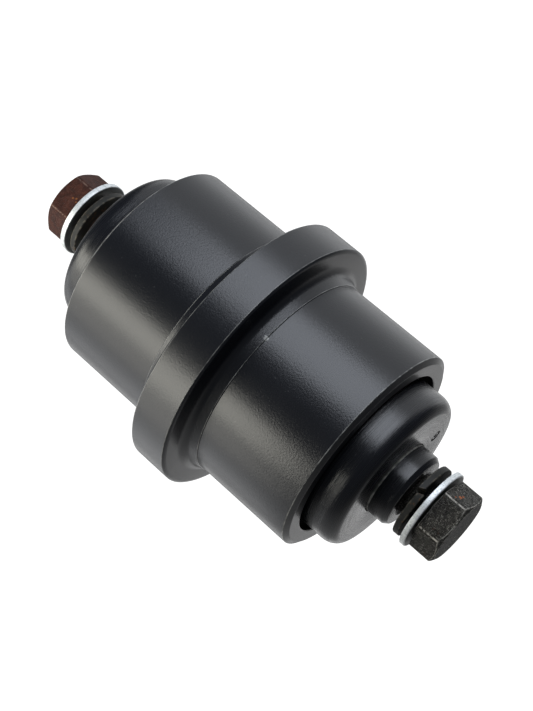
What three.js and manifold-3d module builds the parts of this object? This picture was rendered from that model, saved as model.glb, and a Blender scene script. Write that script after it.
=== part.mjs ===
// Lower track roller with a centre flange, from a small tracked machine.
// Millimetres, +Z up. The roller turns about the Y axis; the origin is the middle of the roller
// on that axis. "right" is the +Y end and "left" the -Y end.
import * as THREE from "three";
import { mergeVertices } from "three/addons/utils/BufferGeometryUtils.js";
import Module from "manifold-3d";

const wasm = await Module();
wasm.setup();

// ---------- driving dimensions (mm; radii unless named otherwise) ----------
const TREAD_R = 40; // two running treads
const FLANGE_R = 50.7; // centre guide flange
const FLANGE_HALF = 7.8; // half the flange's width
const RIM_AXIAL = 0.8; // bevel on the flange's rims
const RIM_RADIAL = 1.3;
const ROOT_R = 3.47; // concave fillet at the flange root
const CONE_DEG = 18; // slope of the short cone that follows the fillet
const CONE_R = 41.15; // the cone's start
const CONE_END = 13.15; // the cone ends in a small step down to the tread
const BODY_HALF = 53.2; // half the length of the roller body
const CHAMFER_RADIAL = 2; // chamfer at the ends of the body
const CHAMFER_AXIAL = 1.3;
const MOUTH_R = 33.1; // open recess in each end of the body
const MOUTH_FLOOR = 47.2;
const SEAL_BORE_R = 27.2; // floating seal housing, small end of its ramp
const SEAL_FLOOR = 40.9;
const BUSHING_SEAT = 33.6; // counterbore for the bushing's flange
const BORE_R = 20.3; // bore that takes the bushings

const JOURNAL_R = 16; // middle of the axle
const AXLE_R = 14.1; // ends of the axle
const AXLE_HALF = 73.3;
const AXLE_CHAMFER_RADIAL = 1.2;
const AXLE_CHAMFER_AXIAL = 1.7;
const SHOULDER_Y = 37.1;
const TAP_R = 8.2; // bolt holes in the axle ends
const TAP_FLOOR = 40;
const GROOVE_Y = 50.2; // O-ring groove
const GROOVE_R = 11.6;
const GROOVE_HALF = 1.6;
const O_RING_SECTION_R = 1.05;

const CAP_R = 30.8;
const CAP_FACE_Y = 65.3;
const CAP_ROUND_RADIAL = 3.9; // the cap's rim is rounded as part of an ellipse
const CAP_ROUND_AXIAL = 5.5;
const CAP_SKIRT_Y = 48.2; // inner end of the cap's skirt
const CAP_FLOOR_Y = 54.3;
const HUB_R = 18.9;

const SEAL_PLANE_Y = 47.6; // where the two metal seal rings meet
const SEAL_FACE_R = 25.6;
const SEAL_INNER_R = 19.5;
const TORIC_R = 25.2;
const TORIC_SECTION_R = 1.8;
const TORIC_OFFSET = 4.3; // from the seal plane

const BUSHING_INNER_R = 16.3;
const BUSHING_OUTER_R = 20;
const BUSHING_FLANGE_R = 23.5;
const BUSHING_START = 6.4;

const PIN_Y = 60; // lock pins run up through the caps from below
const PIN_R = 2.5;
const PIN_BOTTOM = -29.6;
const PIN_TOP = -10.9;
const CROSS_HOLE_R = 2.5; // oil hole across the axle
const PLUG_AT = { x: -20.2, z: 1.3 }; // oil fill hole in the right cap's face
const PLUG_HOLE_R = 2.25;
const PLUG_R = 1.95;
const PLUG_TOP = 65.2;
const PLUG_END = 56;

const BOLT_SHANK_R = 7.9; // M16
const WASHER_FACE_R = 11.2; // raised ring under the head
const BOLT_LENGTH = 40;
const HEAD_FLATS = 24;
const HEAD_HEIGHT = 10;
const HEAD_SEAT_Y = 82.5; // underside of the head
const HEAD_CORNER_DEG = { right: 39.9, left: 135.7 }; // a corner's angle from +X towards +Z
const FLAT_WASHER = { y: 80.2, thick: 2, inner: 8.7, outer: 15 }; // y is the inward face
const SPRING_WASHER = { y: 75.35, thick: 2.55, rise: 1, inner: 8.4, outer: 13.7 };
const SPRING_SPLIT_DEG = { right: 77, left: 290 }; // where the spring washer is cut
const SPRING_GAP_DEG = 7;
const SPRING_SLANT_DEG = 5;

const GAP = 0.3; // clearance between pieces that touch in life

// ---------- helpers ----------
const rad = (degrees) => (degrees * Math.PI) / 180;

// Points of an elliptical arc in the (r, y) plane, ends included.
function arc(cr, cy, a, b, fromDeg, toDeg, steps) {
  const points = [];
  for (let i = 0; i <= steps; i++) {
    const t = rad(fromDeg + ((toDeg - fromDeg) * i) / steps);
    points.push([cr + a * Math.cos(t), cy + b * Math.sin(t)]);
  }
  return points;
}

// Twice the signed area of a closed (r, y) profile.
function turning(points) {
  let sum = 0;
  points.forEach(([r0, y0], i) => {
    const [r1, y1] = points[(i + 1) % points.length];
    sum += r0 * y1 - r1 * y0;
  });
  return sum;
}

// A solid of revolution about Y. The profile is a closed loop, or starts and ends on the axis.
function revolve(profile, segments) {
  const points = turning(profile) > 0 ? [...profile] : [...profile].reverse();
  const onAxis = profile[0][0] === 0 && profile[profile.length - 1][0] === 0;
  if (!onAxis) points.push(points[0]);
  const path = points.map(([r, y]) => new THREE.Vector2(r, y));
  return new THREE.LatheGeometry(path, segments);
}

const mirrored = (profile) => profile.map(([r, y]) => [r, -y]);

// A profile modelled for the right end, moved to the left end when side is -1.
const placed = (profile, side) => (side > 0 ? profile : mirrored(profile));

function toSolid(geometry) {
  const bare = new THREE.BufferGeometry();
  const source = geometry.index ? geometry.toNonIndexed() : geometry;
  bare.setAttribute("position", source.getAttribute("position"));
  const merged = mergeVertices(bare, 1e-4);
  return new wasm.Manifold(
    new wasm.Mesh({
      numProp: 3,
      vertProperties: new Float32Array(merged.attributes.position.array),
      triVerts: new Uint32Array(merged.index.array),
    }),
  );
}

function toGeometry(solid) {
  const mesh = solid.getMesh();
  const geometry = new THREE.BufferGeometry();
  geometry.setAttribute("position", new THREE.BufferAttribute(mesh.vertProperties, 3));
  geometry.setIndex(new THREE.BufferAttribute(mesh.triVerts, 1));
  return geometry;
}

// A plain round cutter along one axis, between two positions on that axis.
function cutter(radius, along, from, to, across = [0, 0], segments = 16) {
  const g = new THREE.CylinderGeometry(radius, radius, Math.abs(to - from), segments);
  g.translate(0, (from + to) / 2, 0);
  if (along === "z") g.rotateX(Math.PI / 2).translate(across[0], across[1], 0);
  if (along === "x") g.rotateZ(-Math.PI / 2).translate(0, across[0], across[1]);
  if (along === "y") g.translate(across[0], 0, across[1]);
  return toSolid(g);
}

const group = new THREE.Group();
group.name = "track_roller";

function add(name, geometry, color, roughness, metalness) {
  const material = new THREE.MeshStandardMaterial({ color, roughness, metalness });
  const mesh = new THREE.Mesh(geometry, material);
  mesh.name = name;
  group.add(mesh);
}

const PAINT = [0x1b1d20, 0.42, 0.2];
const SEAL_STEEL = [0x8d9094, 0.3, 0.95];
const RUBBER = [0x1d1c1b, 0.85, 0];
const BRONZE = [0xa9803f, 0.4, 0.9];
const DARK_STEEL = [0x3a3733, 0.55, 0.8];
const ZINC = [0xc9ced2, 0.3, 0.95];
const BROWN_STEEL = [0x4a3733, 0.55, 0.75];

// ---------- roller body ----------
// One forging: two treads, the centre flange, and stepped seal and bushing bores.
function rollerShell() {
  const rootR = CONE_R + ROOT_R * Math.cos(rad(CONE_DEG));
  const outside = [
    [FLANGE_R, FLANGE_HALF - RIM_AXIAL],
    [FLANGE_R - RIM_RADIAL / 2, FLANGE_HALF - RIM_AXIAL / 4],
    [FLANGE_R - RIM_RADIAL, FLANGE_HALF],
    ...arc(rootR, FLANGE_HALF + 0.2 + ROOT_R, ROOT_R, ROOT_R, 270, 180 + CONE_DEG, 3),
    [TREAD_R + 0.35, CONE_END],
    [TREAD_R, CONE_END + 0.2],
    [TREAD_R, BODY_HALF - CHAMFER_AXIAL],
    [TREAD_R - CHAMFER_RADIAL, BODY_HALF],
    [MOUTH_R + 0.4, BODY_HALF],
    [MOUTH_R, BODY_HALF - 0.4],
  ];
  const inside = [
    [MOUTH_R - 0.3, MOUTH_FLOOR],
    [SEAL_BORE_R + 0.9, MOUTH_FLOOR],
    [SEAL_BORE_R + 0.3, MOUTH_FLOOR - 0.8],
    [SEAL_BORE_R, SEAL_FLOOR],
    [BUSHING_FLANGE_R + GAP, SEAL_FLOOR],
    [BUSHING_FLANGE_R + GAP, BUSHING_SEAT],
    [BORE_R, BUSHING_SEAT],
    [BORE_R, 6.2],
    [BORE_R + 2.4, 4.6],
  ];
  const half = [...outside, ...inside];
  return revolve([...mirrored(half).reverse(), ...half], 48);
}
add("roller_shell", rollerShell(), ...PAINT);

// ---------- axle ----------
// Stepped bar, tapped at both ends, with O-ring grooves, pin notches and an oil cross hole.
function axle() {
  const half = [
    [0, TAP_FLOOR - 4],
    [TAP_R, TAP_FLOOR],
    [TAP_R, AXLE_HALF - 1],
    [TAP_R + 1, AXLE_HALF],
    [AXLE_R - AXLE_CHAMFER_RADIAL, AXLE_HALF],
    [AXLE_R, AXLE_HALF - AXLE_CHAMFER_AXIAL],
    [AXLE_R, GROOVE_Y + GROOVE_HALF],
    [GROOVE_R, GROOVE_Y + GROOVE_HALF],
    [GROOVE_R, GROOVE_Y - GROOVE_HALF],
    [AXLE_R, GROOVE_Y - GROOVE_HALF],
    [AXLE_R, SHOULDER_Y],
    [JOURNAL_R - 0.3, SHOULDER_Y],
    [JOURNAL_R, SHOULDER_Y - 0.3],
    [JOURNAL_R, 9],
    [JOURNAL_R - 0.8, 8.2],
  ];
  let solid = toSolid(revolve([...half, ...mirrored(half).reverse()], 32));
  solid = solid.subtract(cutter(CROSS_HOLE_R, "x", -20, 20));
  for (const side of [1, -1]) {
    solid = solid.subtract(cutter(PIN_R + GAP, "z", -20, PIN_TOP + GAP, [0, PIN_Y * side]));
  }
  return toGeometry(solid);
}
add("axle", axle(), ...PAINT);

// ---------- end caps ----------
// Thick collars pinned to the axle. The skirt reaches into the body's mouth and holds the fixed seal.
function endCap(side) {
  const rimY = CAP_FACE_Y - CAP_ROUND_AXIAL;
  const rimR = CAP_R - CAP_ROUND_RADIAL;
  const profile = [
    [SEAL_BORE_R + 0.8, CAP_SKIRT_Y],
    [CAP_R - 0.4, CAP_SKIRT_Y],
    [CAP_R, CAP_SKIRT_Y + 0.4],
    ...arc(rimR, rimY, CAP_ROUND_RADIAL, CAP_ROUND_AXIAL, 0, 90, 5),
    [AXLE_R + GAP + 0.3, CAP_FACE_Y],
    [AXLE_R + GAP, CAP_FACE_Y - 0.3],
    [AXLE_R + GAP, SHOULDER_Y + GAP],
    [HUB_R, SHOULDER_Y + GAP],
    [HUB_R, CAP_FLOOR_Y],
    [SEAL_BORE_R, CAP_FLOOR_Y],
    [SEAL_BORE_R + 0.3, CAP_SKIRT_Y + 0.6],
  ];
  let solid = toSolid(revolve(placed(profile, side), 40));
  solid = solid.subtract(cutter(PIN_R + GAP, "z", -40, -12, [0, PIN_Y * side]));
  if (side > 0) {
    solid = solid.subtract(cutter(PLUG_HOLE_R, "y", CAP_FLOOR_Y - 0.4, 70, [PLUG_AT.x, PLUG_AT.z]));
  }
  return toGeometry(solid);
}

// Pin that locks the cap to the axle, standing along Z.
function lockPin(side) {
  const profile = [
    [0, PIN_BOTTOM],
    [PIN_R - 0.5, PIN_BOTTOM],
    [PIN_R, PIN_BOTTOM + 0.5],
    [PIN_R, PIN_TOP - 0.5],
    [PIN_R - 0.5, PIN_TOP],
    [0, PIN_TOP],
  ];
  return revolve(profile, 16).rotateX(Math.PI / 2).translate(0, PIN_Y * side, 0);
}

// Pressed plug that closes the oil fill hole, almost level with the cap's face.
function fillPlug() {
  const profile = [
    [0, PLUG_END],
    [PLUG_R - 0.3, PLUG_END],
    [PLUG_R, PLUG_END + 0.4],
    [PLUG_R, PLUG_TOP - 0.3],
    [PLUG_R - 0.3, PLUG_TOP],
    [0, PLUG_TOP],
  ];
  return revolve(profile, 16).translate(PLUG_AT.x, 0, PLUG_AT.z);
}

// ---------- floating seals ----------
// Metal seal ring with its lapped face near the seal plane; reach is +1 outwards, -1 inwards.
function sealRing(side, reach) {
  const at = (depth) => SEAL_PLANE_Y + reach * depth;
  const profile = [
    [SEAL_INNER_R, at(0.15)],
    [SEAL_FACE_R, at(0.15)],
    [SEAL_FACE_R, at(1.6)],
    [SEAL_FACE_R - 2.1, at(2.6)],
    [SEAL_FACE_R - 2.6, at(5.1)],
    [SEAL_INNER_R, at(5.1)],
  ];
  return revolve(placed(profile, side), 28);
}

// Rubber toric ring that loads a seal ring against its mate.
function toric(side, reach) {
  const y = SEAL_PLANE_Y + reach * TORIC_OFFSET;
  const loop = arc(TORIC_R, y, TORIC_SECTION_R, TORIC_SECTION_R, 0, 300, 5);
  return revolve(placed(loop, side), 28);
}

function axleORing(side) {
  const section = O_RING_SECTION_R;
  const loop = arc(GROOVE_R + GAP + section, GROOVE_Y, section, section, 0, 288, 4);
  return revolve(placed(loop, side), 24);
}

// ---------- bushings ----------
// Flanged bronze sleeve pressed into the body; its flange runs against the cap's hub.
function bushing(side) {
  const outer = SHOULDER_Y - 0.1;
  const profile = [
    [BUSHING_INNER_R, BUSHING_START],
    [BUSHING_OUTER_R - 0.4, BUSHING_START],
    [BUSHING_OUTER_R, BUSHING_START + 0.4],
    [BUSHING_OUTER_R, BUSHING_SEAT + GAP],
    [BUSHING_FLANGE_R, BUSHING_SEAT + GAP],
    [BUSHING_FLANGE_R, outer - 0.3],
    [BUSHING_FLANGE_R - 0.3, outer],
    [BUSHING_INNER_R, outer],
  ];
  return revolve(placed(profile, side), 32);
}

// ---------- bolts and washers ----------
// Hex bolt with a chamfered head and a washer face; modelled at the right end.
function hexBolt(cornerDeg) {
  const topY = HEAD_SEAT_Y + HEAD_HEIGHT;
  const cornerR = HEAD_FLATS / Math.sqrt(3);
  const faceR = HEAD_FLATS / 2 - 0.5;
  const tipY = HEAD_SEAT_Y - BOLT_LENGTH;
  const start = rad(90 - cornerDeg);
  const hexY = HEAD_SEAT_Y + 0.4;
  const hex = new THREE.CylinderGeometry(cornerR, cornerR, topY - hexY, 6, 1, false, start);
  hex.translate(0, (topY + hexY) / 2, 0);
  const drop = (r) => topY - (r - faceR) * Math.tan(rad(30));
  const chamfer = revolve(
    [
      [0, hexY - 1],
      [cornerR + 1, hexY - 1],
      [cornerR + 1, drop(cornerR + 1)],
      [faceR, topY],
      [0, topY],
    ],
    36,
  );
  const shank = revolve(
    [
      [0, tipY],
      [BOLT_SHANK_R - 1.5, tipY],
      [BOLT_SHANK_R, tipY + 1.5],
      [BOLT_SHANK_R, HEAD_SEAT_Y],
      [WASHER_FACE_R, HEAD_SEAT_Y],
      [WASHER_FACE_R, hexY + 0.6],
      [0, hexY + 0.6],
    ],
    24,
  );
  const solid = toSolid(hex).intersect(toSolid(chamfer)).add(toSolid(shank));
  return toGeometry(solid);
}

function flatWasher() {
  const w = FLAT_WASHER;
  const top = w.y + w.thick;
  const profile = [
    [w.inner, w.y],
    [w.outer - 0.3, w.y],
    [w.outer, w.y + 0.3],
    [w.outer, top - 0.3],
    [w.outer - 0.3, top],
    [w.inner, top],
  ];
  return revolve(profile, 36);
}

// Split spring washer: a rectangular section carried once round with a steady rise,
// cut on a slant so that its two ends stand apart.
function springWasher(splitDeg) {
  const w = SPRING_WASHER;
  const steps = 36;
  const span = 360 - SPRING_GAP_DEG;
  const positions = [];
  for (let i = 0; i <= steps; i++) {
    const turn = (span * i) / steps;
    const y = w.y + (w.rise * i) / steps;
    const corners = [
      [w.inner, y, 0],
      [w.outer, y, 0],
      [w.outer, y + w.thick, SPRING_SLANT_DEG],
      [w.inner, y + w.thick, SPRING_SLANT_DEG],
    ];
    for (const [r, height, slant] of corners) {
      const t = rad(splitDeg + SPRING_GAP_DEG / 2 + turn + slant);
      positions.push(r * Math.cos(t), height, r * Math.sin(t));
    }
  }
  const index = [];
  for (let i = 0; i < steps; i++) {
    for (let k = 0; k < 4; k++) {
      const a = i * 4 + k;
      const b = i * 4 + ((k + 1) % 4);
      index.push(a, b, a + 4, b, b + 4, a + 4);
    }
  }
  const end = steps * 4;
  index.push(0, 2, 1, 0, 3, 2);
  index.push(end, end + 1, end + 2, end, end + 2, end + 3);
  const geometry = new THREE.BufferGeometry();
  geometry.setAttribute("position", new THREE.Float32BufferAttribute(positions, 3));
  geometry.setIndex(index);
  return geometry;
}

// The fasteners are alike at both ends: the left ones are turned half round about Z.
function atEnd(geometry, side) {
  return side > 0 ? geometry : geometry.rotateZ(Math.PI);
}

for (const [end, side] of [["right", 1], ["left", -1]]) {
  const shade = side > 0 ? DARK_STEEL : BROWN_STEEL;
  add(`end_cap_${end}`, endCap(side), ...PAINT);
  add(`lock_pin_${end}`, lockPin(side), ...SEAL_STEEL);
  add(`bushing_${end}`, bushing(side), ...BRONZE);
  add(`turning_seal_ring_${end}`, sealRing(side, -1), ...SEAL_STEEL);
  add(`turning_toric_${end}`, toric(side, -1), ...RUBBER);
  add(`fixed_seal_ring_${end}`, sealRing(side, 1), ...SEAL_STEEL);
  add(`fixed_toric_${end}`, toric(side, 1), ...RUBBER);
  add(`axle_o_ring_${end}`, axleORing(side), ...RUBBER);
  add(`spring_washer_${end}`, atEnd(springWasher(SPRING_SPLIT_DEG[end]), side), ...DARK_STEEL);
  add(`flat_washer_${end}`, atEnd(flatWasher(), side), ...ZINC);
  add(`hex_bolt_${end}`, atEnd(hexBolt(HEAD_CORNER_DEG[end]), side), ...shade);
}
add("fill_plug", fillPlug(), ...PAINT);

export default group;
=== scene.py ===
import math

import bmesh
import bpy
from mathutils import Matrix, Vector


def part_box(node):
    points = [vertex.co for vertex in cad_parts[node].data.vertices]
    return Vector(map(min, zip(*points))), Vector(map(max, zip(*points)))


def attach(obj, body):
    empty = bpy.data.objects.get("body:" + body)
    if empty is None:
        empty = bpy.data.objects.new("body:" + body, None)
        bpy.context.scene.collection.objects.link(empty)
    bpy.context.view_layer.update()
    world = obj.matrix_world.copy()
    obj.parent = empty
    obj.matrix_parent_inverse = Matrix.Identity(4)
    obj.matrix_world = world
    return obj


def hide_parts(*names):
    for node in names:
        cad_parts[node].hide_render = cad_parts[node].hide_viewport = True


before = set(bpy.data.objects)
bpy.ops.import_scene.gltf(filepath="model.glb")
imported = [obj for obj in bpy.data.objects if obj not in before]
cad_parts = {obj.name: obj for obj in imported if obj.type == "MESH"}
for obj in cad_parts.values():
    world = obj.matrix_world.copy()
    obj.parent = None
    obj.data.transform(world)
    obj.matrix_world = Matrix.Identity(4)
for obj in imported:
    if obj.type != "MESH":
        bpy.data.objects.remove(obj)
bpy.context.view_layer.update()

# Lower track roller with a centre guide flange. Lengths are millimetres until a mesh is made;
# the roller turns about Y, "right" is its +Y end and "left" its -Y end.
MM = 0.001
RIGHT, LEFT = 1, -1
END_NAMES = {RIGHT: "right", LEFT: "left"}


def high(node):
    """Highest corner of a CAD node, in millimetres."""
    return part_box(node)[1] / MM


def low(node):
    """Lowest corner of a CAD node, in millimetres."""
    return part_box(node)[0] / MM


# ---------- dimensions ----------
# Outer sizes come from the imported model; the steps between them are named here.
# Body and bushings.
FLANGE_R = high("roller_shell").z
BODY_HALF = high("roller_shell").y
TREAD_R = FLANGE_R - 10.7
FLANGE_HALF = 7.8
RIM_AXIAL = 0.8
RIM_RADIAL = 1.3
FLANGE_TAPER = 0.2
FLANGE_STEP = 1.5
ROOT_R = 3.47
CONE_DEG = 18.0
CONE_R = TREAD_R + 1.15
CONE_END = 13.15
CHAMFER_RADIAL = 2.0
CHAMFER_AXIAL = 1.3
MOUTH_R = 33.1
MOUTH_FLOOR = 47.2
SEAL_BORE_R = 27.2
SEAL_FLOOR = 40.9
BUSHING_SEAT = 33.6
BORE_R = 20.3
OIL_SPACE_R = 22.7
OIL_SPACE_HALF = 4.6
OIL_SPACE_SLOPE = 1.6
BUSHING_FLANGE_R = high("bushing_right").z
BUSHING_START = low("bushing_right").y
BUSHING_END = high("bushing_right").y
BUSHING_INNER_R = 16.3
BUSHING_OUTER_R = 20.0

# Axle.
JOURNAL_R = high("axle").z
AXLE_R = 14.1
AXLE_HALF = high("axle").y
AXLE_CHAMFER_RADIAL = 1.2
AXLE_CHAMFER_AXIAL = 1.7
SHOULDER_Y = 37.1
RELIEF_DEPTH = 0.8
RELIEF_HALF = 9.0
TAP_R = 8.2
TAP_FLOOR = 40.0
TAP_POINT = 4.0
TAP_MOUTH = 1.0
GROOVE_Y = 50.2
GROOVE_R = 11.6
GROOVE_HALF = 1.6
CROSS_HOLE_R = 2.5

# End caps.
CAP_R = high("end_cap_right").x
CAP_SKIRT_Y = 48.2
CAP_HUB_Y = low("end_cap_right").y
CAP_FLOOR_Y = 54.3
CAP_FACE_Y = high("end_cap_right").y
CAP_ROUND_RADIAL = 3.9
CAP_ROUND_AXIAL = 5.5
CAP_LIP_R = AXLE_R + 0.3
HUB_R = 18.9

# Seals.
SEAL_PLANE_Y = 47.6
SEAL_INNER_R = 19.5
SEAL_FACE_R = high("fixed_seal_ring_right").z
TORIC_R = 25.2
TORIC_SECTION_R = 1.75
TORIC_OFFSET = 4.3
O_RING_SECTION_R = 1.0
O_RING_R = 12.95

# Lock pins and plug.
PIN_Y = 60.0
PIN_R = 2.5
PIN_CLEARANCE = 0.3
PIN_NOTCH_Z = -11.6
PIN_BOTTOM = low("lock_pin_right").z
PIN_TOP = high("lock_pin_right").z
PLUG_X = (low("fill_plug").x + high("fill_plug").x) / 2
PLUG_Z = (low("fill_plug").z + high("fill_plug").z) / 2
PLUG_R = 1.95
PLUG_HOLE_R = 2.25
PLUG_TOP = high("fill_plug").y
PLUG_END = low("fill_plug").y

# Fasteners: angles of a head's corner and of a spring washer's split are in degrees round Y.
THREAD_PITCH = 2.0
THREAD_FLAT = 0.16
THREAD_CREST_R = 7.9
THREAD_ROOT_R = 6.8
HEAD_TOP = high("hex_bolt_right").y
HEAD_HEIGHT = 10.0
HEAD_SEAT = HEAD_TOP - HEAD_HEIGHT
HEAD_FLATS = 24.0
HEAD_SOFTEN = 0.35
HEAD_CHAMFER_DEG = 30.0
WASHER_FACE_R = 11.2
BOLT_TIP = low("hex_bolt_right").y
HEAD_CORNER = {RIGHT: 39.9, LEFT: 135.7}

FLAT_WASHER_IN = 8.7
FLAT_WASHER_R = high("flat_washer_right").z
FLAT_WASHER_Y = low("flat_washer_right").y
FLAT_WASHER_TOP = high("flat_washer_right").y
SPRING_IN = 8.4
SPRING_OUT = 13.7
SPRING_Y = low("spring_washer_right").y
SPRING_THICK = 2.55
SPRING_RISE = 1.0
SPRING_SPLIT = {RIGHT: 77.0, LEFT: 290.0}
SPRING_GAP = 7.0
SPRING_SLANT = 5.0

# How finely round pieces are divided: steps in a full turn.
SHELL_STEPS = 216
CAP_STEPS = 180
WASHER_STEPS = 144
FINE_STEPS = 96
SMALL_STEPS = 48
PIN_STEPS = 40
THREAD_ROWS = 10  # in one pitch
CORNER_STEP_DEG = 18  # the widest step of a rounded profile corner
CORNER_ROOM = 0.45  # the share of the shorter side that such a corner may take
WELD_DISTANCE = 1e-7  # in metres


# ---------- profiles ----------
def arc(cr, cy, a, b, start, end, steps, edge=0.0):
    """Points (r, y, edge) of an elliptical arc, with angles in degrees."""
    points = []
    for i in range(steps + 1):
        t = math.radians(start + (end - start) * i / steps)
        points.append((cr + a * math.cos(t), cy + b * math.sin(t), edge))
    return points


def corner(before, here, after, radius, wear):
    """A rounded profile corner as (r, y, edge); edge is wear on an outside corner, and inside it is
    -wear, which marks painted shade. A point with edge 0 on each side keeps the wear on the corner
    itself."""
    a, b = before - here, after - here
    room = CORNER_ROOM * min(a.length, b.length)
    toward, away = a.normalized(), b.normalized()
    half = toward.angle(away) / 2
    reach = min(radius / math.tan(half), room)
    radius = reach * math.tan(half)
    outside = (-toward).cross(away) > 0
    edge = wear if outside else -wear
    start, end = here + toward * reach, here + away * reach
    centre = here + (toward + away).normalized() * radius / math.sin(half)
    swing = math.pi - 2 * half
    steps = max(2, math.ceil(swing / math.radians(CORNER_STEP_DEG)))
    support = min(0.5 * radius + 0.05, 0.3 * (min(a.length, b.length) - reach))
    first, last = start + toward * support, end + away * support
    points = [(first.x, first.y, 0.0)]
    for k in range(steps + 1):
        turned = Matrix.Rotation((swing if outside else -swing) * k / steps, 2)
        spoke = turned @ (start - centre)
        points.append((centre.x + spoke.x, centre.y + spoke.y, edge))
    points.append((last.x, last.y, 0.0))
    return points


def rounded(profile, closed=True):
    """Rounds the corners of a profile. Each entry is (r, y, radius), with the wear of an outside
    corner and the painted shade of an inside one, from 0 to 1, as an optional fourth value, or a list
    of finished points."""
    flat = []
    for entry in profile:
        if isinstance(entry, list):
            flat.extend((r, y, None, edge) for r, y, edge in entry)
        else:
            flat.append((*entry, 1.0)[:4])
    out = []
    for i, (r, y, radius, wear) in enumerate(flat):
        at_end = not closed and i in (0, len(flat) - 1)
        if radius is None:
            out.append((r, y, wear))
        elif radius == 0 or at_end:
            out.append((r, y, 0.0))
        else:
            before = Vector(flat[i - 1][:2])
            after = Vector(flat[(i + 1) % len(flat)][:2])
            out.extend(corner(before, Vector((r, y)), after, radius, wear))
    return out


def sided(points, side):
    """A right-hand profile, mirrored for the left end and kept turning the same way."""
    if side == RIGHT:
        return points
    return [(r, -y, edge) for r, y, edge in reversed(points)]


def backwards(profile):
    """A profile walked the other way."""
    return [entry[::-1] if isinstance(entry, list) else entry for entry in reversed(profile)]


def mirror_entry(entry):
    """One profile entry, or a list of finished points, moved to the left end."""
    if isinstance(entry, list):
        return [(r, -y, edge) for r, y, edge in entry]
    return (entry[0], -entry[1], *entry[2:])


# ---------- mesh making ----------
def new_object(name, vertices, faces, edges):
    """A smooth-shaded mesh from points in millimetres; edges is each point's wear, and painted shade
    where it is negative.
    """
    mesh = bpy.data.meshes.new(name)
    mesh.from_pydata([Vector(v) * MM for v in vertices], [], faces)
    mesh.attributes.new("edge", "FLOAT", "POINT")
    mesh.attributes["edge"].data.foreach_set("value", edges)
    mesh.shade_smooth()
    piece = bpy.data.objects.new(name, mesh)
    bpy.context.scene.collection.objects.link(piece)
    return piece


def weld(piece):
    """Joins points that coincide, such as those on the axis, and turns all faces outwards."""
    work = bmesh.new()
    work.from_mesh(piece.data)
    bmesh.ops.remove_doubles(work, verts=work.verts, dist=WELD_DISTANCE)
    bmesh.ops.recalc_face_normals(work, faces=work.faces)
    work.to_mesh(piece.data)
    work.free()
    piece.data.shade_smooth()


def skin(name, rows, angles, closed):
    """Joins rows of (r, y, edge), one entry per angle round Y, into one surface."""
    vertices, edges, faces = [], [], []
    n = len(angles)
    for row in rows:
        for (r, y, edge), a in zip(row, angles):
            vertices.append((r * math.cos(a), y, r * math.sin(a)))
            edges.append(edge)
    last = len(rows) if closed else len(rows) - 1
    for i in range(last):
        here, above = i * n, ((i + 1) % len(rows)) * n
        for j in range(n):
            k = (j + 1) % n
            faces.append((here + j, above + j, above + k, here + k))
    piece = new_object(name, vertices, faces, edges)
    weld(piece)
    return piece


def even_angles(count):
    """Angles evenly spaced round a full turn."""
    return [2 * math.pi * j / count for j in range(count)]


def lathe(name, points, steps, closed=True):
    """Turns a profile round Y."""
    return skin(name, [[p] * steps for p in points], even_angles(steps), closed)


def sharpen(piece, degrees=40):
    """Shades as sharp each edge that bends by more than this angle."""
    piece.data.set_sharp_from_angle(angle=math.radians(degrees))


def cut(piece, cutter):
    """Cuts one shape out of another and keeps only the result."""
    tool = piece.modifiers.new("cut", "BOOLEAN")
    tool.operation = "DIFFERENCE"
    tool.solver = "EXACT"
    tool.object = cutter
    depsgraph = bpy.context.evaluated_depsgraph_get()
    mesh = bpy.data.meshes.new_from_object(piece.evaluated_get(depsgraph))
    piece.modifiers.clear()
    piece.data = mesh
    bpy.data.objects.remove(cutter)


def rod(name, radius, bottom, top, lip=0.0):
    """A round cutting bar along Y. It widens by lip just before its top and runs on 1 mm past it."""
    points = [(0, bottom, 0), (radius, bottom, 0)]
    if lip:
        points += [(radius, top - lip, 0), (radius + lip, top, 0)]
    points += [(radius + lip, top + 1, 0), (0, top + 1, 0)]
    return lathe(name, points, SMALL_STEPS, closed=False)


def along_z(piece, y):
    """Stands a piece made along Y up along Z, at a place on the roller's axis."""
    piece.data.transform(Matrix.Translation((0, y * MM, 0)) @ Matrix.Rotation(math.pi / 2, 4, "X"))


def to_left(piece):
    """Turns a right-end fastener half round about Z."""
    piece.data.transform(Matrix.Rotation(math.pi, 4, "Z"))


def place(piece, node, body, material):
    """Gives a piece its material and its body, and lets it stand for a CAD node."""
    piece.data.materials.clear()
    piece.data.materials.append(material)
    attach(piece, body)
    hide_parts(node)
    return piece


# ---------- studio values ----------
# Lengths in metres. The floor glows softly, so that it stays plain and pale.
FLOOR_GLOW = 1.04
FLOOR_FADE = (0.58, 0.86, 0.34)  # starts, ends, brightness beyond
FLOOR_DUSK = (1.5, 4.5, 0.33)  # the same for the far floor, as a share of the grey
FLOOR_MIDDLE = (-0.42, -0.40, -1.0)
FLOOR_HALF = 30.0
WORLD_GLOW = 0.11
# Bars of soft light that lie along the roller. name: angle round Y from +X towards +Z, distance from
# the axis, middle along Y, width, length, brightness, colour
SOFTBOXES = {
    "side_box": (20.5, 0.20, -0.170, 0.089, 0.34, 6.3, (1.0, 0.98, 0.89)),
    "low_box": (-5.0, 0.20, -0.170, 0.085, 0.34, 2.4, (1.0, 0.985, 0.93)),
    "foot_box": (-38.0, 0.20, -0.170, 0.13, 0.34, 1.0, (0.97, 0.985, 1.0)),
    "top_box": (107.3, 0.30, -0.035, 0.24, 0.25, 4.5, (0.86, 0.91, 1.0)),
    "back_wall": (172.0, 1.30, -0.50, 2.35, 1.70, 0.87, (0.95, 0.975, 1.0)),
}
CAMERA_AZIMUTH = 133.886
CAMERA_ELEVATION = 62.527
CAMERA_DISTANCE = 0.47488
CAMERA_LENS = 69.647
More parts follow.
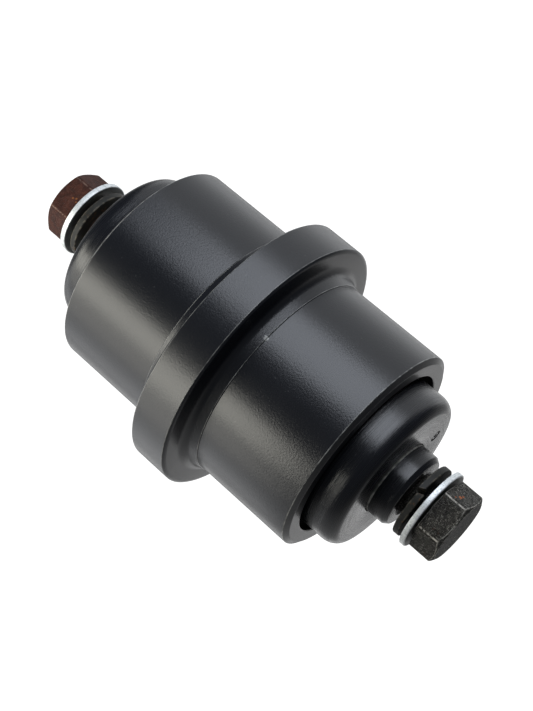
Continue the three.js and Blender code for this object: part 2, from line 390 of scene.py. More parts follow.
# How far the camera stands to its own right and upwards of the line through the origin.
LOOK_RIGHT = 0.004593
LOOK_UP = 0.000249


# ---------- node material helpers ----------
class Shader:
    """A small helper that adds nodes to one material and links them."""

    def __init__(self, name, **fixed):
        self.material = bpy.data.materials.new(name)
        self.material.use_nodes = True
        self.tree = self.material.node_tree
        self.principled = self.tree.nodes["Principled BSDF"]
        for socket, value in fixed.items():
            self.principled.inputs[socket.replace("_", " ")].default_value = value
        self.coordinates = self.add("ShaderNodeTexCoord").outputs["Object"]

    def add(self, kind, **settings):
        node = self.tree.nodes.new(kind)
        for key, value in settings.items():
            setattr(node, key, value)
        return node

    def feed(self, socket, value):
        if isinstance(value, bpy.types.NodeSocket):
            self.tree.links.new(value, socket)
        else:
            socket.default_value = value

    def noise(self, scale, detail=3.0, roughness=0.5, vector=None, distortion=0.0):
        node = self.add("ShaderNodeTexNoise")
        self.feed(node.inputs["Vector"], self.coordinates if vector is None else vector)
        node.inputs["Scale"].default_value = scale
        node.inputs["Detail"].default_value = detail
        node.inputs["Roughness"].default_value = roughness
        node.inputs["Distortion"].default_value = distortion
        return node.outputs["Fac"]

    def math(self, operation, a, b=0.0, clamp=False):
        node = self.add("ShaderNodeMath", operation=operation, use_clamp=clamp)
        self.feed(node.inputs[0], a)
        self.feed(node.inputs[1], b)
        return node.outputs[0]

    def ramp(self, value, low_at, high_at, low_to=0.0, high_to=1.0):
        node = self.add("ShaderNodeMapRange", interpolation_type="SMOOTHSTEP")
        self.feed(node.inputs["Value"], value)
        node.inputs["From Min"].default_value = low_at
        node.inputs["From Max"].default_value = high_at
        node.inputs["To Min"].default_value = low_to
        node.inputs["To Max"].default_value = high_to
        return node.outputs["Result"]

    def mix(self, factor, a, b):
        node = self.add("ShaderNodeMix", data_type="RGBA")
        self.feed(node.inputs["Factor"], factor)
        for socket, value in ((node.inputs["A"], a), (node.inputs["B"], b)):
            self.feed(socket, value if isinstance(value, bpy.types.NodeSocket) else (*value, 1.0))
        return node.outputs["Result"]

    def mix_value(self, factor, a, b):
        node = self.add("ShaderNodeMix", data_type="FLOAT")
        self.feed(node.inputs["Factor"], factor)
        self.feed(node.inputs["A"], a)
        self.feed(node.inputs["B"], b)
        return node.outputs["Result"]

    def edge(self, sign=1.0):
        """1 on outside corners, or on inside corners with sign -1, and 0 elsewhere."""
        node = self.add("ShaderNodeAttribute", attribute_name="edge")
        return self.math("MULTIPLY", node.outputs["Fac"], sign, clamp=True)

    def grazing(self, start, end, amount):
        """Rises from 0 to amount where the surface is seen edge-on."""
        facing = self.add("ShaderNodeLayerWeight").outputs["Facing"]
        return self.ramp(facing, start, end, 0.0, amount)

    def spot(self, at, radius):
        """1 inside a small ragged spot at a place given in millimetres, and 0 outside it."""
        node = self.add("ShaderNodeVectorMath", operation="DISTANCE")
        self.feed(node.inputs[0], self.coordinates)
        node.inputs[1].default_value = Vector(at) * MM
        ragged = self.math("MULTIPLY", self.noise(1500, detail=3), 1.2 * radius * MM)
        away = self.math("SUBTRACT", node.outputs["Value"], ragged)
        return self.ramp(away, 0.55 * radius * MM, 0.3 * radius * MM)

    def round_axis(self, along, outward, around):
        """Coordinates for marks that run round Y: (distance along Y, radius, angle), each scaled."""
        split = self.add("ShaderNodeSeparateXYZ")
        self.feed(split.inputs[0], self.coordinates)
        x, y, z = split.outputs
        squares = self.math("ADD", self.math("MULTIPLY", x, x), self.math("MULTIPLY", z, z))
        radius = self.math("SQRT", squares)
        angle = self.math("ARCTAN2", z, x)
        join = self.add("ShaderNodeCombineXYZ")
        self.feed(join.inputs[0], self.math("MULTIPLY", y, along))
        self.feed(join.inputs[1], self.math("MULTIPLY", radius, outward))
        self.feed(join.inputs[2], self.math("MULTIPLY", angle, around))
        return join.outputs[0]

    def bump(self, height, distance, normal=None):
        node = self.add("ShaderNodeBump")
        node.inputs["Distance"].default_value = distance
        self.feed(node.inputs["Height"], height)
        if normal is not None:
            self.feed(node.inputs["Normal"], normal)
        return node.outputs["Normal"]

    def finish(self, color, roughness, normal, metallic=None):
        self.feed(self.principled.inputs["Base Color"], color)
        self.feed(self.principled.inputs["Roughness"], roughness)
        self.feed(self.principled.inputs["Normal"], normal)
        if metallic is not None:
            self.feed(self.principled.inputs["Metallic"], metallic)
        return self.material


# ---------- materials ----------
def black_paint(name, marks, peel, gloss, bare=(0.3, 0.3, 0.285), nicks=()):
    """Satin black paint: orange peel, lathe marks under it, and thin paint on sharp edges, which on
    the axle and the cap's lip also draws a painted highlight. Marks and peel scale those two, gloss
    is the roughness and bare the colour of worn edges and of that highlight."""
    s = Shader(name, Metallic=0.0, IOR=1.5)
    cloud = s.noise(45, detail=4, roughness=0.6)
    grain = s.noise(1600, detail=2)
    fine = s.noise(3400, detail=2)
    lines = s.noise(1.0, detail=4, roughness=0.7, vector=s.round_axis(2300, 2300, 0.9))
    speck = s.ramp(s.noise(900, detail=1), 0.735, 0.79)
    broken = s.ramp(s.noise(420, detail=4), 0.36, 0.6, 0.35, 1.0)
    # Lighter edges: worn thin paint, and a painted highlight where the axle and cap lip are marked.
    thin = s.math("MULTIPLY", s.ramp(s.edge(), 0.5, 1.0), broken)
    for at, radius in nicks:
        thin = s.math("MAXIMUM", thin, s.spot(at, radius))
    color = s.mix(cloud, (0.0016, 0.0022, 0.0042), (0.0034, 0.0042, 0.0068))
    color = s.mix(s.math("MULTIPLY", speck, 0.5), color, (0.035, 0.036, 0.038))
    color = s.mix(s.math("MULTIPLY", thin, 0.75), color, bare)
    rough = s.mix_value(cloud, gloss, gloss + 0.04)
    rough = s.math("ADD", rough, s.math("MULTIPLY", s.math("SUBTRACT", lines, 0.5), 0.12 * marks))
    rough = s.math("ADD", rough, s.grazing(0.82, 1.0, 0.22))
    normal = s.bump(grain, 0.000055 * peel)
    normal = s.bump(fine, 0.00003 * peel, normal=normal)
    normal = s.bump(lines, 0.00002 * marks, normal=normal)
    return s.finish(color=color, roughness=rough, normal=normal)


def turned_metal(name, tone, rough_low, rough_high):
    """Bare turned or ground metal with fine circular tool marks, a thin oil stain and painted shade
    in inside corners.
    """
    s = Shader(name, Metallic=1.0)
    stain = s.noise(120, detail=5, roughness=0.65)
    lines = s.noise(1.0, detail=3, roughness=0.6, vector=s.round_axis(5200, 5200, 1.2))
    dark = tuple(c * 0.62 for c in tone)
    color = s.mix(s.ramp(stain, 0.35, 0.75), tone, dark)
    # Painted shade: inside corners, marked with negative edge values, are darkened.
    color = s.mix(s.math("MULTIPLY", s.edge(-1.0), 0.6), color, (0.05, 0.045, 0.04))
    rough = s.mix_value(s.ramp(lines, 0.3, 0.7), rough_low, rough_high)
    normal = s.bump(lines, 0.000006)
    return s.finish(color=color, roughness=rough, normal=normal)


def black_rubber():
    """Matt rubber with a faint grey bloom."""
    s = Shader("black_rubber", Metallic=0.0, IOR=1.5)
    bloom = s.noise(160, detail=4)
    skin_marks = s.noise(1500, detail=3)
    color = s.mix(bloom, (0.012, 0.012, 0.012), (0.03, 0.029, 0.028))
    rough = s.mix_value(bloom, 0.5, 0.72)
    return s.finish(color=color, roughness=rough, normal=s.bump(skin_marks, 0.00001))


def zinc_plate():
    """Zinc plating with a faint blue cast, streaks along its rim, dark scuffs, and faces painted dark
    as painted shade and a painted dark reflection of the bolt head.
    """
    s = Shader("zinc_plate", Metallic=0.55)
    patch = s.noise(260, detail=6, roughness=0.75)
    streak = s.noise(1.0, detail=5, roughness=0.7, vector=s.round_axis(2600, 2600, 5.0))
    scuff = s.ramp(s.noise(520, detail=5, roughness=0.8, distortion=0.8), 0.56, 0.7)
    color = s.mix(s.ramp(patch, 0.3, 0.7), (0.62, 0.65, 0.655), (0.8, 0.82, 0.82))
    color = s.mix(s.math("MULTIPLY", s.ramp(streak, 0.5, 0.72), 0.5), color, (0.33, 0.36, 0.37))
    color = s.mix(s.math("MULTIPLY", scuff, 0.6), color, (0.16, 0.19, 0.195))
    specks = s.ramp(s.noise(1300, detail=3, roughness=0.7), 0.53, 0.62)
    color = s.mix(s.math("MULTIPLY", specks, 0.5), color, (0.26, 0.29, 0.3))
    # Painted shade: the washer's faces, marked -1 in edge, are painted near black for the shade and
    # the dark reflection of the bolt head.
    color = s.mix(s.math("MULTIPLY", s.edge(-1.0), 0.93), color, (0.022, 0.026, 0.022))
    rough = s.mix_value(patch, 0.42, 0.56)
    normal = s.bump(s.noise(1100, detail=4), 0.00003)
    return s.finish(color=color, roughness=rough, normal=normal)


def spring_steel():
    """Dark heat-treated steel, dull, with rubbed corners and a little brown rust."""
    s = Shader("spring_steel", Metallic=0.1, IOR=1.4)
    cloud = s.noise(420, detail=6, roughness=0.75)
    wear = s.math("MULTIPLY", s.edge(), s.ramp(s.noise(700, detail=4), 0.42, 0.62))
    color = s.mix(s.ramp(cloud, 0.3, 0.7), (0.005, 0.0052, 0.0042), (0.015, 0.0145, 0.012))
    color = s.mix(s.math("MULTIPLY", wear, 0.5), color, (0.135, 0.12, 0.09))
    rust = s.ramp(s.noise(480, detail=4), 0.62, 0.7)
    color = s.mix(s.math("MULTIPLY", rust, 0.6), color, (0.075, 0.036, 0.012))
    rough = s.mix_value(cloud, 0.5, 0.68)
    return s.finish(color=color, roughness=rough, normal=s.bump(cloud, 0.00003))


def bolt_steel(name, dark, light, bare, amounts, rust_color, spots=()):
    """Oxidised bolt steel: mottled oxide, scratches, bare metal on the edges and some rust.
    Amounts are those of the scratches, bare edges and rust, and how metallic the oxide is."""
    scratch_amount, edge_amount, rust_amount, metallic = amounts
    s = Shader(name, IOR=1.3)
    mottle = s.noise(420, detail=8, roughness=0.74, distortion=0.4)
    color = s.mix(s.ramp(mottle, 0.34, 0.66), dark, light)
    marks = 0.0
    for turn, stretch in (((0.5, 0.4, 0.9), (1.0, 6.0, 2.0)), ((1.1, 2.0, 0.3), (4.0, 1.0, 5.0))):
        lay = s.add("ShaderNodeMapping")
        lay.inputs["Rotation"].default_value = turn
        lay.inputs["Scale"].default_value = stretch
        s.feed(lay.inputs["Vector"], s.coordinates)
        lines = s.ramp(s.noise(620, detail=8, roughness=0.8, vector=lay.outputs[0]), 0.56, 0.64)
        marks = s.math("MAXIMUM", marks, lines)
    speckle = s.ramp(s.noise(1300, detail=9, roughness=0.9), 0.535, 0.6)
    marks = s.math("MAXIMUM", marks, s.math("MULTIPLY", speckle, 0.7))
    patchy = s.ramp(s.noise(150, detail=3), 0.25, 0.6, 0.4, 1.0)
    marks = s.math("MULTIPLY", marks, patchy)
    color = s.mix(s.math("MULTIPLY", marks, scratch_amount), color, bare)
    broken = s.ramp(s.noise(900, detail=5, roughness=0.8), 0.42, 0.54)
    worn = s.math("MULTIPLY", s.ramp(s.edge(), 0.2, 0.9), broken)
    color = s.mix(s.math("MULTIPLY", worn, edge_amount), color, bare)
    rust = s.math("MULTIPLY", s.ramp(s.noise(330, detail=6, roughness=0.7), 0.62, 0.7), rust_amount)
    for at, radius in spots:
        rust = s.math("MAXIMUM", rust, s.spot(at, radius))
    color = s.mix(rust, color, rust_color)
    rough = s.mix_value(marks, 0.64, 0.4)
    shine = s.mix_value(s.math("MULTIPLY", marks, scratch_amount), metallic, 0.95)
    normal = s.bump(mottle, 0.00009)
    normal = s.bump(marks, 0.00006, normal=normal)
    return s.finish(color=color, roughness=rough, metallic=shine, normal=normal)


def pale_floor():
    """White floor under the roller that falls off to grey, and on to the world's dusk far away."""
    s = Shader("pale_floor", Metallic=0.0, Roughness=1.0)
    away = s.add("ShaderNodeVectorMath", operation="DISTANCE")
    s.feed(away.inputs[0], s.coordinates)
    away.inputs[1].default_value = FLOOR_MIDDLE
    near, far, glow = FLOOR_FADE
    s.principled.inputs["Base Color"].default_value = (0.3, 0.3, 0.3, 1)
    s.principled.inputs["Emission Color"].default_value = (1, 1, 1, 1)
    fade = s.ramp(away.outputs["Value"], near, far, FLOOR_GLOW, glow)
    near, far, glow = FLOOR_DUSK
    dusk = s.ramp(away.outputs["Value"], near, far, 1.0, glow)
    s.feed(s.principled.inputs["Emission Strength"], s.math("MULTIPLY", fade, dusk))
    return s.material


# ---------- finishes ----------
# Small marks as (place, radius), in millimetres.
PAINT_NICK = ((7.1, 13.1, 39.8), 0.8)
RUST_SPOTS = (((-5.3, 87.2, 11.2), 0.6), ((-6.4, 87.6, 10.3), 0.35), ((-3.9, 86.2, 12.3), 0.3))
BROWN_SPOTS = (((3.2, -86.5, 11.6), 0.35), ((2.6, -85.2, 11.7), 0.4), ((3.6, -84.4, 11.5), 0.3))

SHELL_PAINT = black_paint("shell_paint", marks=0.35, peel=0.78, gloss=0.28, nicks=(PAINT_NICK,))
CAP_PAINT = black_paint("cap_paint", marks=2.8, peel=0.3, gloss=0.24)
# The axle's pale bare colour is both worn edges and a painted highlight ring where the axle leaves
# the cap.
AXLE_PAINT = black_paint("axle_paint", marks=0.8, peel=0.5, gloss=0.25, bare=(0.66, 0.64, 0.59))
SEAL_STEEL = turned_metal("seal_steel", (0.42, 0.43, 0.45), 0.18, 0.34)
BRONZE = turned_metal("turned_bronze", (0.55, 0.34, 0.13), 0.24, 0.42)
RUBBER = black_rubber()
ZINC = zinc_plate()
SPRING_STEEL = spring_steel()
OXIDE = bolt_steel(
    "black_oxide", (0.005, 0.0047, 0.004), (0.030, 0.028, 0.0235), (0.50, 0.48, 0.43),
    (0.8, 0.95, 0.1, 0.35), (0.36, 0.10, 0.025), RUST_SPOTS,
)
BROWN_OXIDE = bolt_steel(
    "brown_oxide", (0.022, 0.0055, 0.003), (0.056, 0.016, 0.009), (0.26, 0.17, 0.13),
    (0.13, 0.55, 0.3, 0.1), (0.17, 0.06, 0.018), BROWN_SPOTS,
)
BOLT_FINISH = {RIGHT: ("bolt_oxide", OXIDE), LEFT: ("bolt_brown", BROWN_OXIDE)}


# ---------- roller body ----------
def shell_half():
    """Right half of the body's profile, from the flange's rim round to the middle of the bore."""
    flange_side = FLANGE_HALF + FLANGE_TAPER
    root_r = CONE_R + ROOT_R * math.cos(math.radians(CONE_DEG))
    return [
        (FLANGE_R, FLANGE_HALF - RIM_AXIAL, 0.3, 0.74),
        (FLANGE_R - RIM_RADIAL / 2, FLANGE_HALF - RIM_AXIAL / 4, 0.5, 0.3),
        (FLANGE_R - RIM_RADIAL, FLANGE_HALF, 0.9, 0.3),
        (root_r + FLANGE_STEP, flange_side, 0.0),
        arc(root_r, flange_side + ROOT_R, ROOT_R, ROOT_R, 270, 180 + CONE_DEG, 10, edge=-0.3),
        (TREAD_R + 0.35, CONE_END, 0.2, 1.0),
        (TREAD_R, CONE_END + 0.2, 0.2, 1.0),
        (TREAD_R, CONE_END + 1.8, 0.0),
        (TREAD_R, BODY_HALF - CHAMFER_AXIAL, 0.3, 0.92),
        (TREAD_R - CHAMFER_RADIAL, BODY_HALF, 0.3, 0.72),
        (MOUTH_R, BODY_HALF, 0.4, 0.5),
        (MOUTH_R - 0.3, MOUTH_FLOOR, 0.8),
        (SEAL_BORE_R + 0.6, MOUTH_FLOOR, 0.5),
        (SEAL_BORE_R, SEAL_FLOOR, 0.6),
        (BUSHING_FLANGE_R + 0.3, SEAL_FLOOR, 0.3),
        (BUSHING_FLANGE_R + 0.3, BUSHING_SEAT, 0.2),
        (BORE_R, BUSHING_SEAT, 0.3),
        (BORE_R, OIL_SPACE_HALF + OIL_SPACE_SLOPE, 0.0),
        (OIL_SPACE_R, OIL_SPACE_HALF, 0.0),
    ]


def roller_shell():
    right = shell_half()
    left = [mirror_entry(entry) for entry in backwards(right)]
    return lathe("roller_body", rounded(left + right), SHELL_STEPS)


def bushing(side):
    profile = rounded([
        (BUSHING_INNER_R, BUSHING_START, 0.3),
        (BUSHING_OUTER_R, BUSHING_START, 0.5),
        (BUSHING_OUTER_R, BUSHING_SEAT + 0.3, 0.2),
        (BUSHING_FLANGE_R, BUSHING_SEAT + 0.3, 0.2),
        (BUSHING_FLANGE_R, BUSHING_END, 0.35),
        (BUSHING_INNER_R, BUSHING_END, 0.4),
    ])
    return lathe(f"bronze_bushing_{END_NAMES[side]}", sided(profile, side), FINE_STEPS)


# ---------- seals ----------
def seal_ring(side, reach, name):
    """Lapped metal ring; reach is 1 for the cap's ring and -1 for the body's."""
    def at(depth):
        return SEAL_PLANE_Y + reach * depth

    profile = [
        (SEAL_INNER_R, at(0.15), 0.15),
        (SEAL_FACE_R, at(0.15), 0.2),
        (SEAL_FACE_R, at(1.6), 0.3),
        (SEAL_FACE_R - 2.1, at(2.6), 0.6),
        (SEAL_FACE_R - 2.6, at(5.1), 0.4),
        (SEAL_INNER_R, at(5.1), 0.4),
    ]
    if reach < 0:
        profile = profile[::-1]
    return lathe(f"{name}_{END_NAMES[side]}", sided(rounded(profile), side), FINE_STEPS)


def rubber_ring(side, radius, section, y, name):
    """A ring with a round section; the last point stops one step short of the first."""
    loop = arc(radius, y, section, section, 0, 345, 23)
    return lathe(f"{name}_{END_NAMES[side]}", sided(loop, side), FINE_STEPS)


# ---------- axle ----------
def thread_radius(y, angle, crest, root):
    """Radius of a thread with straight flanks and flattened crests and roots."""
    phase = (y / THREAD_PITCH - angle / (2 * math.pi)) % 1.0
    wave = abs(2 * phase - 1)
    level = min(max((wave - THREAD_FLAT) / (1 - 2 * THREAD_FLAT), 0.0), 1.0)
    return root + (crest - root) * level


def threaded_rows(start, end, angles, crest, root):
    """Rows of a thread cut along Y, from start to end."""
    steps = math.ceil(abs(end - start) / THREAD_PITCH * THREAD_ROWS)
    rows = []
    for i in range(steps + 1):
        y = start + (end - start) * i / steps
        rows.append([(thread_radius(y, a, crest, root), y, 0.0) for a in angles])
    return rows


def axle_outside():
    """Right half of the axle's outside, from the rim of the tapped hole to the middle."""
    # Painted highlight: a thin ring of full edge value where the axle leaves the cap's face draws a
    # light line in the paint.
    painted_highlight_ring = [
        (AXLE_R, CAP_FACE_Y + 0.6, 0.0),
        (AXLE_R, CAP_FACE_Y + 0.4, 1.0),
        (AXLE_R, CAP_FACE_Y, 1.0),
        (AXLE_R, CAP_FACE_Y - 0.4, 0.3),
    ]
    return [
        (TAP_R + 1.0, AXLE_HALF, 0.25),
        (AXLE_R - AXLE_CHAMFER_RADIAL, AXLE_HALF, 0.3, 0.7),
        (AXLE_R, AXLE_HALF - AXLE_CHAMFER_AXIAL, 0.3, 0.55),
        painted_highlight_ring,
        (AXLE_R, GROOVE_Y + GROOVE_HALF, 0.15),
        (GROOVE_R, GROOVE_Y + GROOVE_HALF, 0.3),
        (GROOVE_R, GROOVE_Y - GROOVE_HALF, 0.3),
        (AXLE_R, GROOVE_Y - GROOVE_HALF, 0.15),
        (AXLE_R, SHOULDER_Y, 0.3),
        (JOURNAL_R, SHOULDER_Y, 0.4),
        (JOURNAL_R, RELIEF_HALF, 0.2),
        (JOURNAL_R - RELIEF_DEPTH, RELIEF_HALF - RELIEF_DEPTH, 0.2),
    ]


def axle():
    """The axle as one skin, from the floor of the left tapped hole to that of the right one."""
    angles = even_angles(FINE_STEPS)
    half = axle_outside()
    outside = rounded(
        [(TAP_R, -AXLE_HALF + TAP_MOUTH, 0.0)]
        + [mirror_entry(entry) for entry in half]
        + backwards(half)
        + [(TAP_R, AXLE_HALF - TAP_MOUTH, 0.0)],
        closed=False,
    )
    crest, root = TAP_R - 0.1, TAP_R + 0.45
    thread_out, thread_in = AXLE_HALF - TAP_MOUTH - 0.3, TAP_FLOOR + 0.5
    floor = [(0.0, TAP_FLOOR - TAP_POINT, 0.0), (TAP_R, TAP_FLOOR, 0.0)]
    rows = [[mirror_entry(p)] * FINE_STEPS for p in floor]
    rows += threaded_rows(-thread_in, -thread_out, angles, crest, root)
    rows += [[p] * FINE_STEPS for p in outside]
    rows += threaded_rows(thread_out, thread_in, angles, crest, root)
    rows += [[p] * FINE_STEPS for p in reversed(floor)]
    piece = skin("axle_bar", rows, angles, closed=False)
    cross_hole = rod("cross_hole", CROSS_HOLE_R, -1.2 * JOURNAL_R, 1.2 * JOURNAL_R)
    cross_hole.data.transform(Matrix.Rotation(math.pi / 2, 4, "Z"))
    cut(piece, cross_hole)
    for side in (RIGHT, LEFT):
        notch = rod("notch", PIN_R + PIN_CLEARANCE, -1.4 * AXLE_R, PIN_NOTCH_Z)
        along_z(notch, PIN_Y * side)
        cut(piece, notch)
    sharpen(piece)
    return piece


# ---------- end caps ----------
def end_cap(side):
    rim_r = CAP_R - CAP_ROUND_RADIAL
    rim_y = CAP_FACE_Y - CAP_ROUND_AXIAL
    # The cap's rounded lip at the axle is given full edge value, which draws a painted highlight
    # along it.
    lip_with_painted_highlight = [
        (CAP_LIP_R + 0.45, CAP_FACE_Y, 0.3),
        (CAP_LIP_R + 0.18, CAP_FACE_Y - 0.05, 1.0),
        (CAP_LIP_R + 0.05, CAP_FACE_Y - 0.18, 1.0),
        (CAP_LIP_R, CAP_FACE_Y - 0.6, 0.7),
    ]
    profile = rounded([
        (SEAL_BORE_R + 0.6, CAP_SKIRT_Y, 0.3),
        (CAP_R, CAP_SKIRT_Y, 0.5),
        arc(rim_r, rim_y, CAP_ROUND_RADIAL, CAP_ROUND_AXIAL, 0, 90, 22),
        lip_with_painted_highlight,
        (CAP_LIP_R, CAP_HUB_Y, 0.3),
        (HUB_R, CAP_HUB_Y, 0.4),
        (HUB_R, CAP_FLOOR_Y, 0.8),
        (SEAL_BORE_R, CAP_FLOOR_Y, 0.8),
    ])
    piece = lathe(f"cap_{END_NAMES[side]}", sided(profile, side), CAP_STEPS)
    pin_hole = rod("pin_hole", PIN_R + PIN_CLEARANCE, -CAP_R - 10, -12)
    along_z(pin_hole, PIN_Y * side)
    cut(piece, pin_hole)
    if side == RIGHT:
        plug_hole = rod("plug_hole", PLUG_HOLE_R, CAP_FLOOR_Y - 0.4, CAP_FACE_Y + 0.1, lip=0.2)
        plug_hole.data.transform(Matrix.Translation((PLUG_X * MM, 0, PLUG_Z * MM)))
        cut(piece, plug_hole)
    sharpen(piece)
    return piece


def lock_pin(side):
    profile = rounded([
        (0.0, PIN_BOTTOM, 0.0),
        (PIN_R, PIN_BOTTOM, 0.45),
        (PIN_R, PIN_TOP, 0.45),
        (0.0, PIN_TOP, 0.0),
    ], closed=False)
    piece = lathe(f"pin_{END_NAMES[side]}", profile, PIN_STEPS, closed=False)
    along_z(piece, PIN_Y * side)
    return piece


def fill_plug():
    """Pressed-in plug with a chamfered rim and a small dimple."""
    profile = rounded([
        (0.0, PLUG_END, 0.0),
        (PLUG_R, PLUG_END, 0.3),
        (PLUG_R, PLUG_TOP - 0.6, 0.15),
        (PLUG_R - 0.5, PLUG_TOP, 0.2),
        (0.9, PLUG_TOP, 0.2),
        (0.5, PLUG_TOP - 0.35, 0.2),
        (0.0, PLUG_TOP - 0.4, 0.0),
    ], closed=False)
    piece = lathe("oil_plug", profile, PIN_STEPS, closed=False)
    piece.data.transform(Matrix.Translation((PLUG_X * MM, 0, PLUG_Z * MM)))
    return piece


# ---------- fasteners ----------
def hex_angles(first_corner):
    """Angles round a hexagon, closer together near its corners."""
    steps = [0, 0.6, 1.3, 2.2, 3.4, 5.5, 9, 14, 20, 26, 30]
    angles = []
    for side in range(6):
        base = first_corner + side * 60
        angles += [base + s for s in steps]
        angles += [base + 60 - s for s in reversed(steps[1:-1])]
    return [math.radians(a) for a in angles]


def hex_radius(angle, first_corner):
    """Radius of a hexagon with slightly rounded corners, and how near a corner this angle is."""
    off = (math.degrees(angle) - first_corner) % 60
    from_corner = min(off, 60 - off)
    flat = HEAD_FLATS / 2 / math.cos(math.radians(30 - from_corner))
    corner_r = HEAD_FLATS / math.sqrt(3)
    rounding = HEAD_SOFTEN * math.exp(-((from_corner / 2.2) ** 2))
    nearness = math.exp(-((from_corner / 1.5) ** 2))
    return min(flat - rounding, corner_r - 0.6 * HEAD_SOFTEN), nearness


def head_rows(angles, first_corner):
    """Rows of the head: underside, washer face, flats, chamfer and a slightly hollow top."""
    face_r = HEAD_FLATS / 2 - 0.5
    hex_start = HEAD_SEAT + 0.4
    shape = [hex_radius(a, first_corner) for a in angles]

    def drop(r):
        return HEAD_TOP - max(r - face_r, 0) * math.tan(math.radians(HEAD_CHAMFER_DEG))

    def halfway(r):
        return face_r + (r - face_r) * 0.45

    rows = [[(r, HEAD_SEAT, 0.0)] * len(angles) for r in (THREAD_CREST_R + 0.2, WASHER_FACE_R - 0.15)]
    rows.append([(WASHER_FACE_R, HEAD_SEAT + 0.12, 1.0)] * len(angles))
    rows.append([(WASHER_FACE_R, hex_start, 0.0)] * len(angles))
    rows.append([(r - 0.45, hex_start, c * 0.5) for r, c in shape])
    rows.append([(r - 0.12, hex_start + 0.06, max(c, 0.75)) for r, c in shape])
    rows.append([(r, hex_start + 0.3, max(c, 0.2)) for r, c in shape])
    for share in (0.06, 0.3, 0.6, 0.85, 0.95):
        rows.append([(r, hex_start + (drop(r) - 0.3 - hex_start) * share, c) for r, c in shape])
    rows.append([(r, drop(r) - 0.22, max(c, 0.3)) for r, c in shape])
    rows.append([(r - 0.05, drop(r) - 0.05, 1.0) for r, c in shape])
    rows.append([(r - 0.25, drop(r - 0.25), 0.6) for r, c in shape])
    rows.append([(halfway(r), drop(halfway(r)), 0.0) for r, c in shape])
    for r, sink, edge in (
        (face_r + 0.12, 0.09, 0.4), (face_r - 0.05, 0.02, 1.0), (face_r - 0.3, 0.0, 0.3),
        (face_r - 1.2, 0.02, 0.0), (7.0, 0.05, 0.0), (3.0, 0.06, 0.0), (0.0, 0.06, 0.0),
    ):
        rows.append([(r, HEAD_TOP - sink, edge)] * len(angles))
    return rows


def hex_bolt(side):
    """A fully threaded bolt as one skin, from its tip to the top of its head."""
    first_corner = HEAD_CORNER[side]
    angles = hex_angles(first_corner)
    tip = [[(r, BOLT_TIP, 0.0)] * len(angles) for r in (0.0, THREAD_ROOT_R - 0.8)]
    shank = []
    for row in threaded_rows(BOLT_TIP + 0.15, HEAD_SEAT - 0.6, angles, THREAD_CREST_R, THREAD_ROOT_R):
        y = row[0][1]
        lead_in = THREAD_ROOT_R - 0.6 + (y - BOLT_TIP) * 1.1
        shank.append([(min(r, lead_in), y, edge) for r, y, edge in row])
    neck = [[(THREAD_ROOT_R + 0.2, HEAD_SEAT - 0.4, 0.0)] * len(angles)]
    rows = tip + shank + neck + head_rows(angles, first_corner)
    piece = skin(f"bolt_{END_NAMES[side]}", rows, angles, closed=False)
    sharpen(piece, 50)
    if side == LEFT:
        to_left(piece)
    return piece


def flat_washer(side):
    """Punched washer with one rim rounder than the other: out on the right, in on the left."""
    inner_rim, outer_rim = (0.2, 0.4) if side == RIGHT else (0.25, 0.2)
    inner_face, outer_face = FLAT_WASHER_Y, FLAT_WASHER_TOP
    profile = [
        # Both faces carry -1 in edge, which the zinc turns into painted shade.
        (FLAT_WASHER_IN, inner_face, -1.0),
        (FLAT_WASHER_R - inner_rim - 0.25, inner_face, -1.0),
        *arc(FLAT_WASHER_R - inner_rim, inner_face + inner_rim, inner_rim, inner_rim, 270, 360, 5),
        *arc(FLAT_WASHER_R - outer_rim, outer_face - outer_rim, outer_rim, outer_rim, 0, 90, 5),
        (FLAT_WASHER_R - outer_rim - 0.25, outer_face, -1.0),
        (FLAT_WASHER_IN, outer_face, -1.0),
    ]
    piece = lathe(f"plain_washer_{END_NAMES[side]}", profile, WASHER_STEPS)
    if side == LEFT:
        to_left(piece)
    return piece


def spring_section():
    """Outline of the spring washer's section as (r, height, edge), with rounded corners."""
    return rounded([
        (SPRING_IN, 0.0, 0.25),
        (SPRING_OUT, 0.0, 0.4),
        (SPRING_OUT, SPRING_THICK, 0.4),
        (SPRING_IN, SPRING_THICK, 0.25),
    ])


def spring_washer(side):
    """Split washer: the section goes once round with a steady rise and slanted ends."""
    section = spring_section()
    span = 360 - SPRING_GAP
    vertices, edges, faces = [], [], []
    for i in range(WASHER_STEPS + 1):
        share = i / WASHER_STEPS
        end_distance = min(share, 1 - share) * span
        for r, height, edge in section:
            slant = SPRING_SLANT * height / SPRING_THICK
            a = math.radians(SPRING_SPLIT[side] + SPRING_GAP / 2 + span * share + slant)
            y = SPRING_Y + SPRING_RISE * share + height
            vertices.append((r * math.cos(a), y, r * math.sin(a)))
            edges.append(1.0 if end_distance < 1 else abs(edge))
    n = len(section)
    for i in range(WASHER_STEPS):
        for k in range(n):
            here, after = i * n + k, i * n + (k + 1) % n
            faces.append((here, after, after + n, here + n))
    faces.append(tuple(range(n)))
    faces.append(tuple(reversed(range(WASHER_STEPS * n, (WASHER_STEPS + 1) * n))))
    piece = new_object(f"lock_washer_{END_NAMES[side]}", vertices, faces, edges)
    weld(piece)
    sharpen(piece, 50)
    if side == LEFT:
        to_left(piece)
    return piece


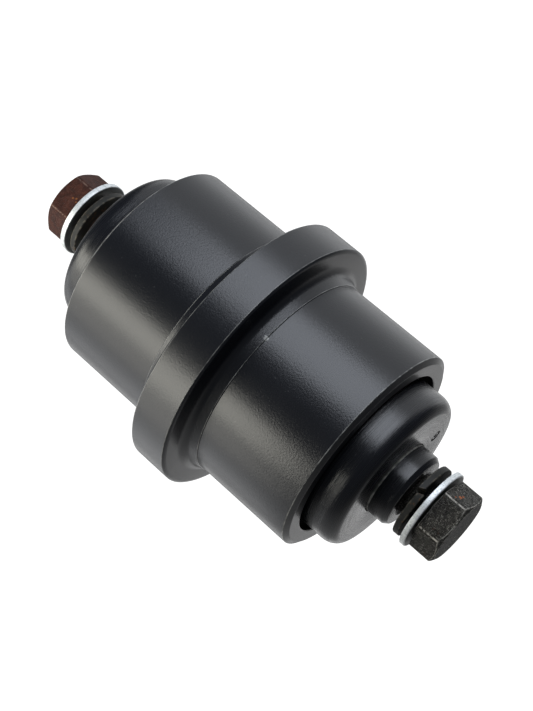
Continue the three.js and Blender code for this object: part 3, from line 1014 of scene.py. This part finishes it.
# ---------- assembly ----------
def assemble():
    """Makes every piece and puts each on its body."""
    place(roller_shell(), "roller_shell", "roller", SHELL_PAINT)
    place(axle(), "axle", "axle_assembly", AXLE_PAINT)
    place(fill_plug(), "fill_plug", "axle_assembly", CAP_PAINT)
    for side, end in END_NAMES.items():
        place(end_cap(side), f"end_cap_{end}", "axle_assembly", CAP_PAINT)
        place(lock_pin(side), f"lock_pin_{end}", "axle_assembly", SEAL_STEEL)
        place(bushing(side), f"bushing_{end}", "roller", BRONZE)
        for reach, state, body in ((-1, "turning", "roller"), (1, "fixed", "axle_assembly")):
            ring = seal_ring(side, reach, f"{state}_ring")
            place(ring, f"{state}_seal_ring_{end}", body, SEAL_STEEL)
            toric_y = SEAL_PLANE_Y + reach * TORIC_OFFSET
            toric = rubber_ring(side, TORIC_R, TORIC_SECTION_R, toric_y, f"{state}_rubber")
            place(toric, f"{state}_toric_{end}", body, RUBBER)
        o_ring = rubber_ring(side, O_RING_R, O_RING_SECTION_R, GROOVE_Y, "o_ring")
        place(o_ring, f"axle_o_ring_{end}", "axle_assembly", RUBBER)
        washers, bolt = f"{end}_washers", f"{end}_bolt"
        place(spring_washer(side), f"spring_washer_{end}", washers, SPRING_STEEL)
        place(flat_washer(side), f"flat_washer_{end}", washers, ZINC)
        slot, material = BOLT_FINISH[side]
        place(hex_bolt(side), f"hex_bolt_{end}", bolt, material)


# ---------- studio ----------
def towards(azimuth, elevation):
    """Unit vector from the object towards a viewer at this azimuth and elevation."""
    a, e = math.radians(azimuth), math.radians(elevation)
    return Vector((math.sin(a) * math.cos(e), -math.cos(a) * math.cos(e), math.sin(e)))


def make_camera():
    back = towards(CAMERA_AZIMUTH, CAMERA_ELEVATION)
    turn = (-back).to_track_quat("-Z", "Y")
    right, up = turn @ Vector((1, 0, 0)), turn @ Vector((0, 1, 0))
    data = bpy.data.cameras.new("camera")
    data.lens = CAMERA_LENS
    data.sensor_width = 36
    camera = bpy.data.objects.new("camera", data)
    camera.location = back * CAMERA_DISTANCE + right * LOOK_RIGHT + up * LOOK_UP
    camera.rotation_mode = "QUATERNION"
    camera.rotation_quaternion = turn
    bpy.context.scene.collection.objects.link(camera)
    bpy.context.scene.camera = camera


def softbox(name, angle, distance, middle, width, length, brightness, color):
    """A rectangular soft light that lies along Y and faces the roller's axis."""
    a = math.radians(angle)
    outward = Vector((math.cos(a), 0, math.sin(a)))
    along = Vector((0, 1, 0))
    data = bpy.data.lights.new(name, "AREA")
    data.shape = "RECTANGLE"
    data.size = width
    data.size_y = length
    data.energy = brightness * width * length * math.pi
    data.color = color
    light = bpy.data.objects.new(name, data)
    turn = Matrix((along.cross(outward), along, outward)).transposed().to_4x4()
    light.matrix_world = Matrix.Translation(outward * distance + along * middle) @ turn
    light.visible_camera = False
    bpy.context.scene.collection.objects.link(light)


def make_floor():
    """A large flat floor well below the roller."""
    mesh = bpy.data.meshes.new("floor")
    z = FLOOR_MIDDLE[2]
    corners = [(x * FLOOR_HALF, y * FLOOR_HALF, z) for x, y in ((-1, -1), (1, -1), (1, 1), (-1, 1))]
    mesh.from_pydata(corners, [], [(0, 1, 2, 3)])
    mesh.materials.append(pale_floor())
    floor = bpy.data.objects.new("floor", mesh)
    bpy.context.scene.collection.objects.link(floor)


def make_world():
    world = bpy.data.worlds.new("studio")
    world.use_nodes = True
    world.node_tree.nodes["Background"].inputs["Color"].default_value = (0.9, 0.95, 1.0, 1)
    world.node_tree.nodes["Background"].inputs["Strength"].default_value = WORLD_GLOW
    bpy.context.scene.world = world


def make_lights():
    for name, values in SOFTBOXES.items():
        softbox(name, *values)


assemble()
make_camera()
make_floor()
make_world()
make_lights()
bpy.context.scene.view_settings.view_transform = "Standard"
